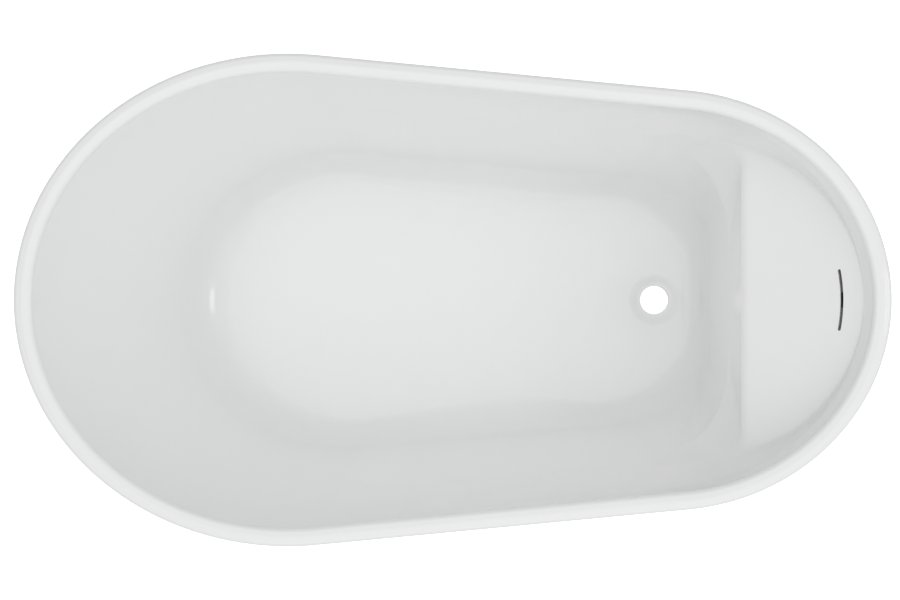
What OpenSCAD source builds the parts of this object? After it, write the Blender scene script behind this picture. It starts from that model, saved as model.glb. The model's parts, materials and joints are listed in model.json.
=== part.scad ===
// Freestanding bathtub with an egg-shaped plan: a wide, raked head end and a
// narrow foot end with a moulded ledge, a slotted overflow and a bare drain hole.
// Origin: centre of the bounding box, on the floor. +X foot end, +Y left, +Z up.

/* [Overall] */
// overall length at the rim
tub_l = 1400; // [1300:10:1700]
// overall width at the rim
tub_w = 786; // [720:2:860]
// height of the rim above the floor
rim_h = 590; // [570:5:640]

/* [Plan shape] */
// half length of the head end's ellipse
head_a = 437; // [400:1:470]
// half length of the foot end's ellipse
foot_a = 360; // [330:1:400]
// width of the foot end's ellipse over that of the head end's
foot_taper = 0.855; // [0.80:0.005:0.92]

/* [Rim] */
// width of the rim
rim_w = 30; // [27:1:38]
// radius of the rolled outer edge
roll_r = 9; // [7:0.5:12]
// radius of the rim's inner edge
edge_r = 10; // [7:0.5:12]
// how far the lip turns down over the outer shell
lip_drop = 24; // [20:1:36]
// thickness of the basin wall
wall_t = 5; // [4:0.5:6]

/* [Well] */
// depth of the well from the rim to the floor at the drain
well_depth = 440; // [420:5:450]
// fall of the well floor from its edge to the drain
floor_fall = 5; // [3:0.5:10]
// rake of the backrest from vertical, degrees
back_rake = 27; // [22:0.5:30]
// rake of the side walls at the head end, degrees
side_rake = 14.5; // [11:0.5:17]
// rake of the side walls at the foot end, degrees
foot_rake = 12.3; // [10:0.5:14]
// how far the head ellipse's centre moves in by the floor
head_shift = 72; // [40:1:90]
// how far the foot ellipse's centre moves in by the floor
foot_shift = 70; // [50:1:90]
// how far the floor's foot end is inside the rim
foot_end_in = 225; // [215:1:240]
// reach of the round between floor and walls
cove_r = 55; // [40:1:70]
// reach of the same round next to the drain
cove_foot = 33; // [26:1:36]
// height of the round
cove_h = 58; // [40:1:70]

/* [Ledge] */
// how far the ledge's front edge is inside the rim
ledge_front = 219; // [210:1:230]
// depth of the ledge's front edge below the rim
ledge_depth = 125; // [110:1:140]
// depth of the ledge's back edge below the rim
ledge_top = 30; // [28:1:40]
// how far the ledge's back edge is inside the rim
ledge_back_in = 40; // [38:1:48]
// softness of the ledge's front edge
ledge_edge = 12; // [8:1:16]
// softness of the crease between the ledge and the wall round it
ledge_crease = 10; // [6:1:14]
// lean of the face under the ledge by the floor
ledge_lean = 19; // [10:1:25]

/* [Overflow] */
// length of the overflow slot
slot_l = 100; // [80:1:115]
// height of the overflow slot
slot_h = 5; // [4:0.5:8]
// how far the slot is in from the ledge's back edge
slot_in = 31; // [28:1:36]
// plan radius of the slot's curve
slot_r = 259; // [220:1:300]
// thickness of the gasket behind the slot
gasket_t = 2; // [1.5:0.25:3]
// clearance between the shell's back and the gasket
gasket_gap = 0.8; // [0.5:0.1:1.5]
// depth of the collector box
box_d = 16; // [14:0.5:20]
// wall of the collector box
box_t = 2.5; // [2:0.25:3]
// outside radius of the overflow pipe
pipe_r = 16; // [14:0.5:17]
// wall of the overflow pipe
pipe_t = 1.8; // [1.5:0.1:2.5]
// clearance of nuts and clips round the pipe
pipe_fit = 0.3; // [0.2:0.05:0.5]
// centre line radius of the pipe's bend
bend_r = 45; // [40:1:60]
// height of the pipe's level run
pipe_z = 66; // [50:1:72]
// lean of the pipe's long run towards the drain, degrees
pipe_lean = 13; // [11:0.5:16]
// length of the collector's spout
spout_l = 34; // [30:1:40]

/* [Drain] */
// distance of the drain's centre from the rim's foot end
drain_in = 327; // [322:1:334]
// radius of the drain hole
hole_r = 26; // [22:0.5:28]
// outer radius of the drain recess
recess_r = 47.5; // [42:0.5:48]
// inner radius of the drain recess
seat_r = 30; // [29:0.5:34]
// depth of the drain recess
recess_d = 7; // [4:0.5:9]

/* [Outer shell] */
// thickness of the outer shell
skirt_t = 4; // [3:0.5:6]
// how far the shell draws in at the sides by the floor
skirt_in = 88; // [60:1:100]
// how far the shell draws in at the ends by the floor
skirt_end_in = 112; // [80:1:130]
// gap between the shell and the floor
skirt_gap = 6; // [4:1:10]
// width of the shell's turned-in bottom edge
hem_w = 15; // [10:1:20]
// clearance between the shell's tongue and the lip
lip_gap = 0.5; // [0.3:0.1:1]

/* [Base frame] */
// thickness of the floor board
board_t = 18; // [15:1:22]
// radius of the board's drain opening
board_hole_r = 62; // [58:1:64]
// section of the steel tubes
tube_s = 30; // [25:1:35]
// wall of the steel tubes
tube_t = 2; // [1.5:0.25:3]
// how far the long tubes are inside the foot end's half width
rail_in = 192; // [180:1:210]
// distance of the long tubes' head end from the rim
rail_head_in = 200; // [180:1:220]
// distance of the long tubes' foot end from the rim
rail_foot_in = 180; // [175:1:200]
// distance of a foot from its tube's end
foot_in = 50; // [45:1:60]
// distance of an end cross tube from the long tubes' ends
cross_in = 30; // [25:1:32]
// thickness of the shell straps
strap_t = 4; // [3:0.5:5]
// width of the shell straps
strap_w = 30; // [20:1:36]
// size of the shell blocks along the tub
block_l = 60; // [40:1:80]
// thickness of the shell blocks
block_t = 28; // [20:1:32]
// height of the shell blocks
block_h = 36; // [30:1:40]
// bond line between block and shell
bond_gap = 1; // [0.5:0.1:2]
// radius of a screw's shank
screw_r = 2.4; // [2:0.1:3]
// radius of a screw's head
screw_head_r = 5; // [4:0.5:6]
// clearance of screws in their holes
screw_fit = 0.2; // [0.1:0.05:0.4]

/* [Levelling feet] */
// radius of the stud
stud_r = 6; // [5:1:6]
// running clearance round the stud
stud_fit = 0.05; // [0.02:0.01:0.08]
// height of each nut
nut_h = 10; // [8:1:11]
// corner radius of the nuts
nut_r = 11; // [10:0.5:12]
// radius of the pad
pad_r = 27; // [22:1:30]
// height of the pad's boss
pad_h = 18; // [16:1:20]
// radius of the stud's round foot
ball_r = 9; // [8:0.5:10]

/* [Hidden] */
cols = 84;
eps = 0.01;
foot_x = tub_l / 2;
head_x = -tub_l / 2;
bh0 = tub_w / 2;
bf0 = bh0 * foot_taper;
xh0 = head_x + head_a;
xf0 = foot_x - foot_a;
ox = xf0 - 280;
floor_d = well_depth - floor_fall;
drain_x = foot_x - drain_in;
under_z = rim_h - well_depth - recess_d - wall_t;
board_z = under_z - board_t;
tube_z = board_z - tube_s;
front_x0 = foot_x - ledge_front;
ledge_tip = foot_x - ledge_back_in;
ledge_slope = (ledge_depth - ledge_top) / (ledge_tip - front_x0);
head_foot_x = head_x + rail_head_in + foot_in;
end_foot_x = foot_x - rail_foot_in - foot_in;
mid_x = (head_foot_x + end_foot_x) / 2;
head_cross_x = head_x + rail_head_in + cross_in;
end_cross_x = foot_x - rail_foot_in - cross_in;
rail_c = bf0 - rail_in;
strap_xs = [head_x + 450, foot_x - 520];
screw_xs = [head_x + 340, head_x + 580, foot_x - 580, foot_x - 380];
slot_x = ledge_tip - slot_in;
slot_z = rim_h - ledge_top - ledge_slope * slot_in;
slot_a = atan(ledge_slope);
// depth under the ledge's surface of the gasket's face, and of the middle of the spout's mouth
back_d = wall_t + gasket_gap;
mouth_d = back_d + gasket_t + box_d - 3.3;
spout_x = slot_x + mouth_d * sin(slot_a);
spout_z = slot_z - mouth_d * cos(slot_a);
pipe_run_l = (spout_z + bend_r * sin(pipe_lean) - pipe_z - bend_r) / cos(pipe_lean);
bend_x = spout_x - pipe_run_l * sin(pipe_lean) - bend_r * cos(pipe_lean);
tail_x = drain_x + 75;
clip_x = end_cross_x - 5;
clip_y = pipe_r + pipe_fit + 14;

// ---- plan shape: the hull of two ellipses, read as a radius about [ox, 0] ----
function mix(a, b, t) = a + (b - a) * t;
function clamp(x, a, b) = min(max(x, a), b);
function support(a, b, t) = norm([a * cos(t), b * sin(t)]);
function tangent(e, t = 80, k = 7) = k == 0 ? t
    : tangent(e, acos(clamp((support(e[1], e[2], t) - support(e[4], e[5], t)) / (e[3] - e[0]), -0.9, 0.9)), k - 1);
function egg(xh, ah, bh, xf, af, bf) =
    let (e = [xh, ah, bh, xf, af, bf], t = tangent(e), h = support(ah, bh, t), f = support(af, bf, t))
    concat(e, [t, xh + ah * ah * cos(t) / h, xf + af * af * cos(t) / f, xf * cos(t) + f]);
function ellipse_r(c, a, b, g) =
    let (d = ox - c, p = pow(cos(g) / a, 2) + pow(sin(g) / b, 2), q = 2 * d * cos(g) / (a * a),
         s = q * q - 4 * p * (d * d / (a * a) - 1))
    s < 0 ? 0 : (sqrt(s) - q) / (2 * p);
function egg_r(e, g) =
    let (k = cos(g - e[6]), r = k > 0.05 ? (e[9] - ox * cos(e[6])) / k : 0, x = ox + r * cos(g))
    max(ellipse_r(e[0], e[1], e[2], g), ellipse_r(e[3], e[4], e[5], g),
        k > 0.05 && x >= e[7] && x <= e[8] ? r : 0);
function col_a(i) = let (t = 360 * i / cols) atan2(0.56 * sin(t), cos(t));
function fold(a) = let (b = a < 0 ? a + 360 : a) b > 180 ? 360 - b : b;
function inset_egg(n) = egg(xh0, head_a - n, bh0 - n, xf0, foot_a - n, bf0 - n);
function skirt_egg(d, n) =
    let (t = max(0, d - lip_drop) / (rim_h - lip_drop), f = 0.55 * t + 0.45 * t * t, s = n + skirt_in * f, l = n + skirt_end_in * f)
    egg(xh0, head_a - l, bh0 - s, xf0, foot_a - l, bf0 - s);
function ring(e, z) = [for (i = [0 : cols - 1]) let (a = col_a(i), r = egg_r(e, fold(a))) [ox + r * cos(a), r * sin(a), z]];

// ---- the well: wall, ledge and cove as a radius for each direction and depth ----
function smin(a, b, k) = let (h = max(k - abs(a - b), 0) / k) min(a, b) - h * h * k / 4;
function smax(a, b, k) = -smin(-a, -b, k);
function ease(t) = let (q = clamp(t, 0, 1)) q * q * (3 - 2 * q);
function wall_egg(d) =
    let (h = max(0, d - edge_r), t = h / (floor_d - edge_r), xh = xh0 + head_shift * t, xf = xf0 - foot_shift * t * t,
         top = mix(foot_x - rim_w, ledge_tip, min(1, h / (ledge_top - edge_r))),
         tip = mix(top, foot_x - foot_end_in, max(0, d - ledge_depth) / (floor_d - ledge_depth)))
    egg(xh, xh - (head_x + rim_w + h * tan(back_rake)), bh0 - rim_w - h * tan(side_rake),
        xf, tip - xf, bf0 - rim_w - h * tan(foot_rake) * (0.3 + 0.7 * ease(h / 140)));
function ledge_x(d) = ledge_tip - (d - ledge_top) / ledge_slope;
function face_x(d) = front_x0 - ledge_lean * clamp((d - ledge_depth) / (floor_d - ledge_depth), 0, 1);
// how softly the wall under the ledge runs into the side walls
function corner_k(d) =
    let (q = wall_egg(d), room = 0.9 * (q[3] + q[4] - face_x(d)))
    min(clamp((d - ledge_top) * 0.4, 0.1, ledge_crease) + max(0, d - ledge_depth + 30) * 0.8, max(room, 12));
function wall_r(g, d) =
    let (r = egg_r(wall_egg(d), g))
    d <= ledge_top || cos(g) < 0.3 ? r
    : smin(r, (smax(ledge_x(d), face_x(d), ledge_edge) - ox) / cos(g), corner_k(d));
// depth at which each direction crosses from the wall to the ledge
function cross_d(g, lo, hi, k = 9) =
    let (d = (lo + hi) / 2)
    k == 0 || cos(g) < 0.3 ? hi
    : egg_r(wall_egg(d), g) * cos(g) < ledge_x(d) - ox ? cross_d(g, d, hi, k - 1) : cross_d(g, lo, d, k - 1);
crossings = [for (i = [0 : cols - 1]) cross_d(fold(col_a(i)), ledge_top + 5, ledge_depth - 22)];
function cove_in(g, d) =
    let (h = floor_d - d, k = cove_foot + (cove_r - cove_foot) * clamp((1 - cos(g)) * 1.6, 0, 1))
    h >= cove_h ? 0 : k * (1 - sqrt(max(0, 1 - pow(1 - h / cove_h, 2))));
function well_r(g, d) = wall_r(g, d) - cove_in(g, d);
// rings of the well: kind 0 at one depth, 1 above the ledge, 2 over it, 3 down to the cove, 4 the cove
function well_ring(kind, q) =
    [for (i = [0 : cols - 1])
        let (a = col_a(i), g = fold(a), c = crossings[i],
             d = kind == 0 ? q : kind == 1 ? mix(ledge_top, c, q) : kind == 2 ? mix(c, ledge_depth - 8, q)
                 : kind == 3 ? mix(ledge_depth + 8, floor_d - cove_h, q) : floor_d - cove_h * (1 - sin(q)),
             r = well_r(g, d))
        [ox + r * cos(a), r * sin(a), rim_h - d]];
function drain_ring(r, z) = [for (i = [0 : cols - 1]) [drain_x + r * cos(360 * i / cols), r * sin(360 * i / cols), z]];
function blend_ring(p, q, t) = [for (i = [0 : cols - 1]) mix(p[i], q[i], t)];

floor_ring = well_ring(4, 90);
recess_ring = drain_ring(recess_r, rim_h - well_depth);
top_rings = concat(
    [ring(inset_egg(0), rim_h - lip_drop), ring(inset_egg(0), rim_h - roll_r)],
    [for (a = [30, 60, 90]) ring(inset_egg(roll_r * (1 - cos(a))), rim_h - roll_r * (1 - sin(a)))],
    [for (a = [0, 30, 60]) ring(inset_egg(rim_w - edge_r + edge_r * sin(a)), rim_h - edge_r * (1 - cos(a)))],
    [well_ring(0, edge_r), well_ring(0, mix(edge_r, ledge_top, 0.5)), well_ring(0, ledge_top)],
    [for (q = [0.35, 0.7, 1]) well_ring(1, q)],
    [for (q = [0.2, 0.45, 0.75, 1]) well_ring(2, q)],
    [well_ring(0, ledge_depth - 2.5), well_ring(0, ledge_depth + 2.5)],
    [for (q = [0, 0.25, 0.5, 0.75, 1]) well_ring(3, q)],
    [for (a = [20, 40, 60, 76]) well_ring(4, a)],
    [floor_ring],
    [for (t = [0.35, 0.7]) blend_ring(floor_ring, recess_ring, t)],
    [recess_ring, drain_ring(seat_r, rim_h - well_depth - recess_d), drain_ring(hole_r / 2, rim_h - well_depth - recess_d)]);
// index of the first well ring below the rim's inner edge, and of the floor's edge
first_wall = 9;
floor_i = len(top_rings) - 6;
function unit(v) = v / max(norm(v), 1e-9);
function air(j, i) = unit(cross(top_rings[j][(i + 1) % cols] - top_rings[j][(i + cols - 1) % cols],
                                top_rings[j + 1][i] - top_rings[j - 1][i]));
function back_ring(j) = [for (i = [0 : cols - 1]) let (p = top_rings[j][i] - wall_t * air(j, i)) [p[0], p[1], max(p[2], under_z)]];
function flat_ring(j) = [for (p = top_rings[j]) [p[0], p[1], under_z]];
under_rings = concat(
    [flat_ring(len(top_rings) - 1), flat_ring(floor_i + 1), flat_ring(floor_i)],
    [for (k = [1 : floor_i - first_wall]) if (k != 3 && k != 5) back_ring(floor_i - k)],
    [ring(inset_egg(rim_w - wall_t), rim_h - wall_t - 4),
     ring(inset_egg(rim_w - wall_t - 3), rim_h - wall_t), ring(inset_egg(wall_t + 4), rim_h - wall_t),
     ring(inset_egg(wall_t), rim_h - wall_t - 4), ring(inset_egg(wall_t), rim_h - lip_drop)]);

// a closed band: rings joined in order, and the last to the first
module band(rings) {
    n = len(rings);
    m = len(rings[0]);
    polyhedron(points = [for (r = rings) for (p = r) p],
        faces = [for (j = [0 : n - 1]) for (i = [0 : m - 1])
            let (k = (j + 1) % n, h = (i + 1) % m)
            for (f = [[j * m + i, k * m + i, k * m + h], [j * m + i, k * m + h, j * m + h]]) f],
        convexity = 8);
}
module at_slot() { translate([slot_x, 0, slot_z]) rotate([0, -slot_a, 0]) children(); }
// a plate under the slot: half width, half length, lower and upper face
module plate(x, y, z0, z1) { bar([-x, -y, z0], [x, y, z1]); }
module bar(lo, hi) { translate(lo) cube(hi - lo); }

// ---- shell ----
module basin() {
    half = (slot_l / 2 - slot_h / 2) / slot_r * 180 / PI;
    color([0.97, 0.97, 0.965]) difference() {
        band(concat(top_rings, under_rings));
        translate([drain_x, 0, under_z - 1]) cylinder(r = hole_r, h = 60, $fn = 64);
        at_slot() translate([-slot_r, 0, -wall_t - 3]) {
            rotate([0, 0, -half]) rotate_extrude(angle = 2 * half, $fn = 96) translate([slot_r - slot_h / 2, 0]) square([slot_h, wall_t + 9]);
            for (s = [-1, 1]) rotate([0, 0, s * half]) translate([slot_r, 0, 0]) cylinder(r = slot_h / 2, h = wall_t + 9, $fn = 32);
        }
    }
}
module skirt() {
    b = rim_h - skirt_gap;
    i = wall_t + lip_gap;
    s = lip_drop + lip_gap;
    ds = [for (q = [0.12, 0.26, 0.4, 0.54, 0.68, 0.82]) mix(s, b, q)];
    color([0.97, 0.97, 0.965]) band(concat(
        [ring(skirt_egg(b, hem_w), skirt_gap), ring(skirt_egg(b, 0), skirt_gap)],
        [for (k = [5 : -1 : 0]) ring(skirt_egg(ds[k], 0), rim_h - ds[k])],
        [ring(inset_egg(0), rim_h - s), ring(inset_egg(i), rim_h - s), ring(inset_egg(i), rim_h - wall_t - 6),
         ring(inset_egg(i + skirt_t), rim_h - wall_t - 6), ring(inset_egg(i + skirt_t), rim_h - s - 8)],
        [for (k = [0 : 5]) ring(skirt_egg(ds[k], skirt_t), rim_h - ds[k])],
        [ring(skirt_egg(b - skirt_t, skirt_t), skirt_gap + skirt_t), ring(skirt_egg(b - skirt_t, hem_w), skirt_gap + skirt_t)]));
}
module rim_bond() {
    i = wall_t + 2 * lip_gap + skirt_t;
    o = rim_w - wall_t - lip_gap;
    color([0.86, 0.85, 0.8]) band([
        ring(inset_egg(o - 3), rim_h - wall_t - 5), ring(inset_egg(o - 3), rim_h - lip_drop + 3),
        ring(inset_egg(i), rim_h - lip_drop + 3), ring(inset_egg(i), rim_h - wall_t - 5)]);
}

// ---- floor board and steel frame ----
module floor_board() {
    e = wall_egg(floor_d);
    color([0.76, 0.62, 0.44]) difference() {
        translate([0, 0, board_z]) linear_extrude(board_t)
            polygon([for (i = [0 : 47]) let (t = 360 * i / 48, a = atan2(0.56 * sin(t), cos(t)), r = egg_r(e, fold(a)) - 6)
                [ox + r * cos(a), r * sin(a)]]);
        translate([drain_x, 0, board_z - 1]) cylinder(r = board_hole_r, h = board_t + 2, $fn = 64);
        board_screw_places() translate([0, 0, board_z - 1]) cylinder(r = screw_r + screw_fit, h = board_t - 3, $fn = 24);
    }
}
module board_screw_places() { for (x = screw_xs) for (s = [-1, 1]) translate([x, s * rail_c, 0]) children(); }
module rail(s) {
    y = s * rail_c;
    x0 = head_x + rail_head_in;
    x1 = foot_x - rail_foot_in;
    color([0.2, 0.21, 0.22]) difference() {
        bar([x0, y - tube_s / 2, tube_z], [x1, y + tube_s / 2, board_z]);
        bar([x0 - 1, y - tube_s / 2 + tube_t, tube_z + tube_t], [x1 + 1, y + tube_s / 2 - tube_t, board_z - tube_t]);
        for (x = screw_xs) translate([x, y, tube_z - 1]) cylinder(r = screw_r + screw_fit, h = tube_s + 2, $fn = 24);
        for (x = strap_xs) translate([x, y, tube_z - 1]) cylinder(r = screw_r + screw_fit, h = tube_t + 2, $fn = 24);
        for (x = [head_foot_x, end_foot_x]) translate([x, y, tube_z - 1]) cylinder(r = stud_r + 0.6, h = tube_t + 2, $fn = 32);
    }
}
module rail_left() { rail(1); }
module rail_right() { rail(-1); }
module cross(x) {
    w = rail_c - tube_s / 2;
    color([0.2, 0.21, 0.22]) difference() {
        bar([x - tube_s / 2, -w, tube_z], [x + tube_s / 2, w, board_z]);
        bar([x - tube_s / 2 + tube_t, -w - 1, tube_z + tube_t], [x + tube_s / 2 - tube_t, w + 1, board_z - tube_t]);
        if (x == mid_x) translate([x, 0, tube_z - 1]) cylinder(r = stud_r + 0.6, h = tube_t + 2, $fn = 32);
        if (x == end_cross_x) translate([clip_x, clip_y, tube_z - 1]) cylinder(r = screw_r + screw_fit, h = tube_t + 2, $fn = 24);
    }
}
module cross_head() { cross(head_cross_x); }
module cross_mid() { cross(mid_x); }
module cross_foot() { cross(end_cross_x); }
module rail_caps() {
    c = 0.2;
    i = tube_s / 2 - tube_t - c;
    z = tube_z + tube_s / 2;
    color([0.08, 0.08, 0.08])
        for (s = [-1, 1]) for (e = [[head_x + rail_head_in, -1], [foot_x - rail_foot_in, 1]])
            translate([e[0], s * rail_c, z]) {
                bar([min(0, 3 * e[1]), -tube_s / 2, -tube_s / 2], [max(0, 3 * e[1]), tube_s / 2, tube_s / 2]);
                bar([min(0, -12 * e[1]), -i, -i], [max(0, -12 * e[1]), i, i]);
            }
}
module screw(h) {
    rotate_extrude($fn = 32) polygon([[0, -3], [screw_head_r * 0.7, -3], [screw_head_r, -1.6], [screw_head_r, 0],
        [screw_r, 0], [screw_r, h - 4], [0, h]]);
}
module board_screws() { color([0.75, 0.76, 0.78]) board_screw_places() translate([0, 0, tube_z]) screw(tube_s + board_t - 6); }
module foot_nut() {
    difference() {
        cylinder(r = nut_r, h = nut_h, $fn = 6);
        translate([0, 0, -1]) cylinder(r = stud_r + stud_fit, h = nut_h + 2, $fn = 48);
    }
}
function foot_spots() = [[head_foot_x, rail_c], [head_foot_x, -rail_c], [end_foot_x, rail_c], [end_foot_x, -rail_c], [mid_x, 0]];
module weld_nuts() { color([0.35, 0.36, 0.38]) for (p = foot_spots()) translate([p[0], p[1], tube_z - nut_h]) foot_nut(); }

// ---- shell straps and blocks ----
function block_y(x) =
    let (z = tube_z + strap_t, e = skirt_egg(rim_h - tube_z, skirt_t))
    min([for (u = [x - block_l / 2, x + block_l / 2]) egg_y(e, u)]) - bond_gap;
function egg_y(e, x) =
    let (h = abs(x - e[0]) < e[1] ? e[2] * sqrt(1 - pow((x - e[0]) / e[1], 2)) : 0,
         f = abs(x - e[3]) < e[4] ? e[5] * sqrt(1 - pow((x - e[3]) / e[4], 2)) : 0,
         l = x > e[7] && x < e[8] ? (e[9] - x * cos(e[6])) / sin(e[6]) : 0)
    max(h, f, l);
module strap_places() { for (x = strap_xs) for (s = [0, 1]) mirror([0, s, 0]) translate([x, 0, 0]) let (y = block_y(x)) children(); }
module skirt_straps() {
    color([0.62, 0.64, 0.66]) for (x = strap_xs) for (s = [0, 1]) mirror([0, s, 0]) difference() {
        bar([x - strap_w / 2, rail_c - tube_s / 2, tube_z - strap_t], [x + strap_w / 2, block_y(x) - 4, tube_z]);
        for (y = [rail_c, block_y(x) - block_t / 2]) translate([x, y, tube_z - strap_t - 1])
            cylinder(r = screw_r + screw_fit, h = strap_t + 2, $fn = 24);
    }
}
module skirt_blocks() {
    color([0.78, 0.65, 0.47]) for (x = strap_xs) for (s = [0, 1]) mirror([0, s, 0]) difference() {
        bar([x - block_l / 2, block_y(x) - block_t, tube_z], [x + block_l / 2, block_y(x), tube_z + block_h]);
        translate([x, block_y(x) - block_t / 2, tube_z - 1]) cylinder(r = screw_r + screw_fit, h = 23, $fn = 24);
    }
}
module strap_screws() {
    color([0.75, 0.76, 0.78]) for (x = strap_xs) for (s = [0, 1]) mirror([0, s, 0]) {
        translate([x, rail_c, tube_z - strap_t]) screw(14);
        translate([x, block_y(x) - block_t / 2, tube_z - strap_t]) screw(24);
    }
}

// ---- overflow ----
box_y = slot_l / 2 + 14;
module overflow_gasket() {
    color([0.12, 0.12, 0.12]) at_slot() difference() {
        plate(17, box_y, -back_d - gasket_t, -back_d);
        plate(9, box_y - 10, -back_d - gasket_t - 1, -back_d + 1);
    }
}
module overflow_box() {
    z0 = -back_d - gasket_t;
    color([0.9, 0.9, 0.88]) difference() {
        union() {
            at_slot() plate(17, box_y, z0 - 3, z0);
            at_slot() plate(13, box_y - 7, z0 - box_d, z0 - 1);
            intersection() {
                on_spout() translate([0, 0, -spout_l]) cylinder(r = pipe_r, h = spout_l + 16, $fn = 64);
                at_slot() plate(19, 30, -200, z0 - 2);
            }
        }
        at_slot() plate(13 - box_t, box_y - 10, z0 - box_d + box_t, z0 + 1);
        on_spout() translate([0, 0, -spout_l - 1]) cylinder(r = pipe_r - box_t, h = spout_l + 4, $fn = 64);
    }
}
module overflow_screws() {
    color([0.75, 0.76, 0.78]) at_slot() for (s = [-1, 1]) translate([0, s * (box_y - 3.6), -back_d - gasket_t - 3])
        rotate_extrude($fn = 24) polygon([[0, -1.6], [2.2, -1.6], [2.2, 0], [0, 0]]);
}
module on_spout() { translate([spout_x, 0, spout_z]) rotate([0, pipe_lean, 0]) children(); }
module overflow_nut() {
    color([0.16, 0.16, 0.17]) on_spout() translate([0, 0, -spout_l - 14]) difference() {
        union() {
            cylinder(r = pipe_r + 5, h = 28, $fn = 64);
            for (a = [0 : 45 : 315]) rotate([0, 0, a]) bar([pipe_r + 3, -2, 3], [pipe_r + 6.5, 2, 25]);
        }
        translate([0, 0, -1]) cylinder(r = pipe_r + pipe_fit, h = 30, $fn = 64);
    }
}
module overflow_pipe() {
    color([0.88, 0.88, 0.87]) difference() {
        pipe_run(pipe_r, pipe_r + 2.2, 0, 8);
        pipe_run(pipe_r - pipe_t, pipe_r - pipe_t + 0.8, 1, 6);
    }
}
// the long run, the elbow and the level run; both runs reach into the elbow
module pipe_run(r, elbow_r, over, into) {
    on_spout() translate([0, 0, -pipe_run_l - into]) cylinder(r = r, h = pipe_run_l - spout_l + over + into, $fn = 64);
    translate([bend_x, 0, pipe_z + bend_r]) rotate([90, 0, 0]) rotate([0, 0, -90])
        rotate_extrude(angle = 90 - pipe_lean, $fn = 64) translate([bend_r, 0]) circle(r = elbow_r, $fn = 64);
    translate([tail_x - over, 0, pipe_z]) rotate([0, 90, 0]) cylinder(r = r, h = bend_x - tail_x + over + into, $fn = 64);
}
module pipe_clip() {
    x = clip_x;
    color([0.7, 0.71, 0.73]) difference() {
        union() {
            translate([x - 8, 0, pipe_z]) rotate([0, 90, 0]) cylinder(r = pipe_r + pipe_fit + 2.5, h = 16, $fn = 64);
            bar([x - 8, 0, tube_z - 2.5], [x + 8, clip_y + 8, tube_z]);
            bar([x - 8, pipe_r + pipe_fit - 1, pipe_z], [x + 8, pipe_r + pipe_fit + 2.5, tube_z]);
        }
        translate([x - 9, 0, pipe_z]) rotate([0, 90, 0]) cylinder(r = pipe_r + pipe_fit, h = 18, $fn = 64);
        bar([x - 9, -60, tube_z - 2.5 - 12], [x + 9, pipe_r + pipe_fit - 2, tube_z - 2.5]);
        bar([x - 9, -60, pipe_z + 8], [x + 9, 0, tube_z + 1]);
        translate([x, clip_y, tube_z - 4]) cylinder(r = screw_r + screw_fit, h = 6, $fn = 24);
    }
}
module clip_screw() { color([0.75, 0.76, 0.78]) translate([clip_x, clip_y, tube_z - 2.5]) screw(12); }
module tail_nut() {
    color([0.16, 0.16, 0.17]) translate([tail_x + 8, 0, pipe_z]) rotate([0, 90, 0]) difference() {
        union() {
            cylinder(r = pipe_r + 5, h = 18, $fn = 64);
            for (a = [0 : 45 : 315]) rotate([0, 0, a]) bar([pipe_r + 3, -2, 2], [pipe_r + 6.5, 2, 16]);
        }
        translate([0, 0, -1]) cylinder(r = pipe_r + pipe_fit, h = 20, $fn = 64);
    }
}

// ---- levelling feet ----
module stud(p) {
    color([0.78, 0.79, 0.81]) translate([p[0], p[1], 0]) {
        translate([0, 0, pad_h / 2]) cylinder(r = ball_r, h = pad_h / 2 - 2, $fn = 48);
        translate([0, 0, pad_h / 2 + 1]) cylinder(r = stud_r, h = board_z - tube_t - 8 - pad_h / 2 - 1, $fn = 48);
        translate([0, 0, pad_h + 3]) cylinder(r = ball_r + 1, h = 8, $fn = 6);
    }
}
module pad(p) {
    color([0.1, 0.1, 0.1]) translate([p[0], p[1], 0]) rotate_extrude($fn = 64)
        polygon([[0, 0], [pad_r - 1, 0], [pad_r, 1], [pad_r, 5], [pad_r - 3, 8], [ball_r + 6, 11], [ball_r + 6, pad_h - 1],
            [ball_r + 5, pad_h], [ball_r + stud_fit, pad_h], [ball_r + stud_fit, pad_h / 2], [0, pad_h / 2]]);
}
module lock_nut(p) { color([0.72, 0.73, 0.75]) translate([p[0], p[1], tube_z - 2 * nut_h]) foot_nut(); }
module foot_head_left_stud() { stud(foot_spots()[0]); }
module foot_head_left_pad() { pad(foot_spots()[0]); }
module foot_head_left_nut() { lock_nut(foot_spots()[0]); }
module foot_head_right_stud() { stud(foot_spots()[1]); }
module foot_head_right_pad() { pad(foot_spots()[1]); }
module foot_head_right_nut() { lock_nut(foot_spots()[1]); }
module foot_end_left_stud() { stud(foot_spots()[2]); }
module foot_end_left_pad() { pad(foot_spots()[2]); }
module foot_end_left_nut() { lock_nut(foot_spots()[2]); }
module foot_end_right_stud() { stud(foot_spots()[3]); }
module foot_end_right_pad() { pad(foot_spots()[3]); }
module foot_end_right_nut() { lock_nut(foot_spots()[3]); }
module foot_mid_stud() { stud(foot_spots()[4]); }
module foot_mid_pad() { pad(foot_spots()[4]); }
module foot_mid_nut() { lock_nut(foot_spots()[4]); }

basin();
skirt();
rim_bond();
floor_board();
rail_left();
rail_right();
cross_head();
cross_mid();
cross_foot();
rail_caps();
board_screws();
weld_nuts();
skirt_straps();
skirt_blocks();
strap_screws();
overflow_gasket();
overflow_box();
overflow_screws();
overflow_nut();
overflow_pipe();
pipe_clip();
clip_screw();
tail_nut();
foot_head_left_stud();
foot_head_left_pad();
foot_head_left_nut();
foot_head_right_stud();
foot_head_right_pad();
foot_head_right_nut();
foot_end_left_stud();
foot_end_left_pad();
foot_end_left_nut();
foot_end_right_stud();
foot_end_right_pad();
foot_end_right_nut();
foot_mid_stud();
foot_mid_pad();
foot_mid_nut();
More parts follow.
